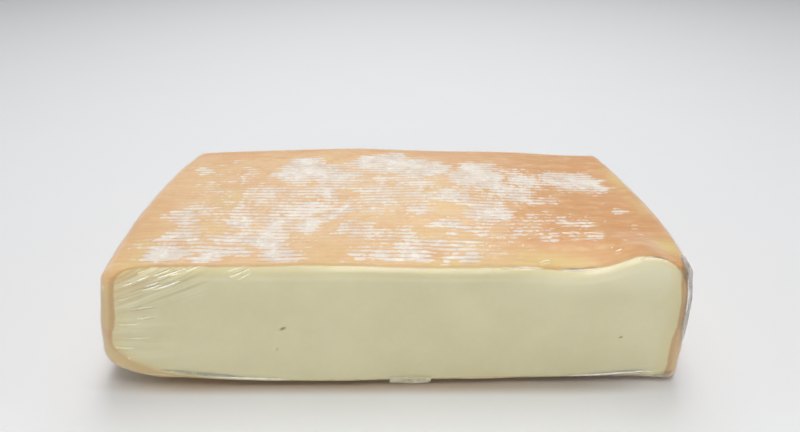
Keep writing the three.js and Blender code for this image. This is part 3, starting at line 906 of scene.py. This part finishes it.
for side in (-1, 1):
    for fan, (y0, z0, y1, z1) in enumerate([(46, 40, 14, 8), (-45, 39, -16, 9), (46, 10, 24, 5), (-44, 12, -24, 6)]):
        for k in range(6 if fan < 2 else 4):
            t = (k + rng.uniform(0.2, 0.8)) / 6
            ya, za = y0 - 0.35 * t * (y0 - y1), z0 - 5.0 * t + rng.uniform(-1, 1)
            yb, zb = y0 - (0.25 + 0.75 * (1 - t)) * (y0 - y1), za - (za - z1) * rng.uniform(0.45, 0.95)
            pull((side * 125, ya, za), (side * 125, yb, zb), (-side, 0, 0), rng.uniform(0.5, 0.9), rng.uniform(0.16, 0.32),
                 (MILK, CREASE, GLINT)[(k + fan) % 3], rng.uniform(-1.2, 1.2), 20)
    # the overlap of the parcel's end
    pull((side * 125, -44, 40), (side * 125, -5, 5), (-side, 0, 0), 1.4, 0.40, MILK, 2.5, 40)
    pull((side * 125, 45, 39), (side * 125, 4, 5), (-side, 0, 0), 1.4, 0.40, MILK, -2.5, 40)
for k in range(22):
    side = 1 if k % 2 else -1
    x0 = side * (92 - 64 * ((k + rng.uniform(0, 0.8)) / 22) ** 1.3)
    z0 = rng.uniform(27, 41)
    x1, z1 = x0 - side * rng.uniform(3, 16), z0 - rng.uniform(9, 24)
    pull((x0, 80, z0), (x1, 80, max(z1, 5.0)), (0, -1, 0), rng.uniform(0.45, 0.85), rng.uniform(0.12, 0.28),
         (MILK, CREASE, GLINT)[k % 3], rng.uniform(-1.2, 1.2), 20)
# the free edge of the wrap along the back
pleat([towards((x, 80, 13.5 + 1.6 * math.sin(x / 21.0) + 0.5 * math.sin(x / 6.1)), (0, -1, 0)) for x in np.linspace(-90, 90, 90)], 1.4, 0.28, MILK)

# Underneath, the wrap is gathered to the middle.
for k in range(44):
    a = 2 * math.pi * k / 44 + rng.uniform(-0.05, 0.05)
    r0, r1 = rng.uniform(0.20, 0.45), rng.uniform(0.70, 0.93)
    x0, y0, x1, y1 = 84 * r0 * math.cos(a), 44 * r0 * math.sin(a), 84 * r1 * math.cos(a), 44 * r1 * math.sin(a)
    pull((x0, y0, -30), (x1, y1, -30), (0, 0, 1), rng.uniform(0.5, 1.1), 0.06, (CREASE, MILK, GLINT, FOLD_SHADE)[k % 4], rng.uniform(-1.5, 1.5))

film = new_mesh("film", np.concatenate(film_points), film_faces, {"cover": np.concatenate(film_cover)})
for looks in (
    skin_looks(),
    crease_looks("film_crease", linear(250, 245, 218), 0.55, 0.30, 0.5),
    # grey folds: layered film, with painted shade and reflection of the dim surroundings
    crease_looks("film_fold_shade", linear(166, 172, 164), 0.60, 0.30),
    crease_looks("film_milk", linear(196, 192, 188), 0.46, 0.34),
    crease_looks("film_glint", linear(255, 253, 240), 1.0, 0.25, 1.0),
    crease_looks("film_shade", linear(142, 134, 108), 0.50, 0.35),
    crease_looks("film_haze", linear(196, 189, 180), 0.74, 0.34),
):
    film.data.materials.append(looks)
film.data.polygons.foreach_set("material_index", np.array(film_slots, np.int32))
film.data.set_sharp_from_angle(angle=math.radians(38))
film.visible_shadow = False          # the film is clear and throws no shadow of its own

for piece, slot in ((cheese, "cheese"), (film, "film")):
    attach(piece, "root")
    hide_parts("taleggio")

# =========================================================================================
# Floor and light
# =========================================================================================
floor_mesh = bpy.data.meshes.new("floor")
half = 4.0
floor_mesh.from_pydata([(-half, -half, 0), (half, -half, 0), (half, half, 0), (-half, half, 0)], [], [(0, 1, 2, 3)])
floor = bpy.data.objects.new("floor", floor_mesh)
bpy.context.scene.collection.objects.link(floor)
ground = Looks("floor")
dust = ground.noise(size=60.0, detail=2.0)
pale = ground.mix(dust, linear(236, 237, 239), linear(239, 239, 241))
# Painted light: the floor is paler towards the front, for the light that falls there.
pale = ground.mix((ground.y * -1.0 - 45.0).step(0.0, 90.0), pale, linear(251, 254, 255))
# Painted shadow: the floor is darkened and warmed close round the block's foot, where its contact shadow falls.
off_x = ((ground.x + 4.0)._math("ABSOLUTE") - 60.0).most(0.0) * 0.13
off_y = ((ground.y + 0.3)._math("ABSOLUTE") - 53.2).most(0.0)
painted_contact_shadow = (off_x * off_x + off_y * off_y).power(0.5).step(6.0, 0.4)
shade = ground.mix((ground.x - 10.0).step(0.0, 60.0), linear(200, 184, 164), linear(198, 190, 181))
base = ground.principled(ground.mix(painted_contact_shadow, pale, shade), 0.55)
# Far off, the floor glows a little: painted light standing in for the white surround it would turn up into.
far_glow = (ground.x * ground.x + ground.y * ground.y).power(0.5).step(1350.0, 2600.0)
base.inputs["Emission Color"].default_value = (0.93, 0.95, 1.0, 1)
ground.tree.links.new((far_glow * 0.5).socket, base.inputs["Emission Strength"])
floor_mesh.materials.append(ground.finish(base.outputs[0]))
floor.location.z = -0.0002

world = bpy.data.worlds.new("world")
bpy.context.scene.world = world
world.use_nodes = True
sky = world.node_tree.nodes["Background"]
sky.inputs["Strength"].default_value = 1.18
# White walls all round, a dimmer ceiling.
around = world.node_tree.nodes.new("ShaderNodeTexCoord")
upward = world.node_tree.nodes.new("ShaderNodeSeparateXYZ")
walls = world.node_tree.nodes.new("ShaderNodeValToRGB")
world.node_tree.links.new(around.outputs["Generated"], upward.inputs[0])
world.node_tree.links.new(upward.outputs["Z"], walls.inputs[0])
world.node_tree.links.new(walls.outputs[0], sky.inputs["Color"])
walls.color_ramp.interpolation = "EASE"
walls.color_ramp.elements[0].position = 0.10
walls.color_ramp.elements[0].color = (0.70, 0.715, 0.74, 1)
walls.color_ramp.elements[1].position = 0.55
walls.color_ramp.elements[1].color = (0.150, 0.157, 0.165, 1)


def softbox(name, at, aim, size, watts, colour=(1, 1, 1)):
    light = bpy.data.lights.new(name, "AREA")
    light.shape, light.size, light.size_y = "RECTANGLE", size[0], size[1]
    light.energy, light.color = watts, colour
    ob = bpy.data.objects.new(name, light)
    bpy.context.scene.collection.objects.link(ob)
    ob.location = at
    ob.rotation_euler = (Vector(aim) - Vector(at)).to_track_quat("-Z", "Y").to_euler()
    return ob


softbox("overhead", (0.02, -0.03, 1.00), (0, -0.03, 0), (0.9, 0.34), 6.0, (1.0, 0.985, 0.96))
softbox("behind", (0.0, 0.95, 1.10), (0, 0.75, 0), (1.2, 0.8), 5.8, (1.0, 0.99, 0.97))
softbox("front", (-0.2, -1.3, 0.26), (0, 0, 0.02), (1.4, 0.4), 3.1, (1.0, 0.99, 0.97))

scene = bpy.context.scene
scene.view_settings.view_transform = "Standard"
scene.view_settings.look = "None"
scene.view_settings.exposure = 0.0
scene.view_settings.gamma = 1.0
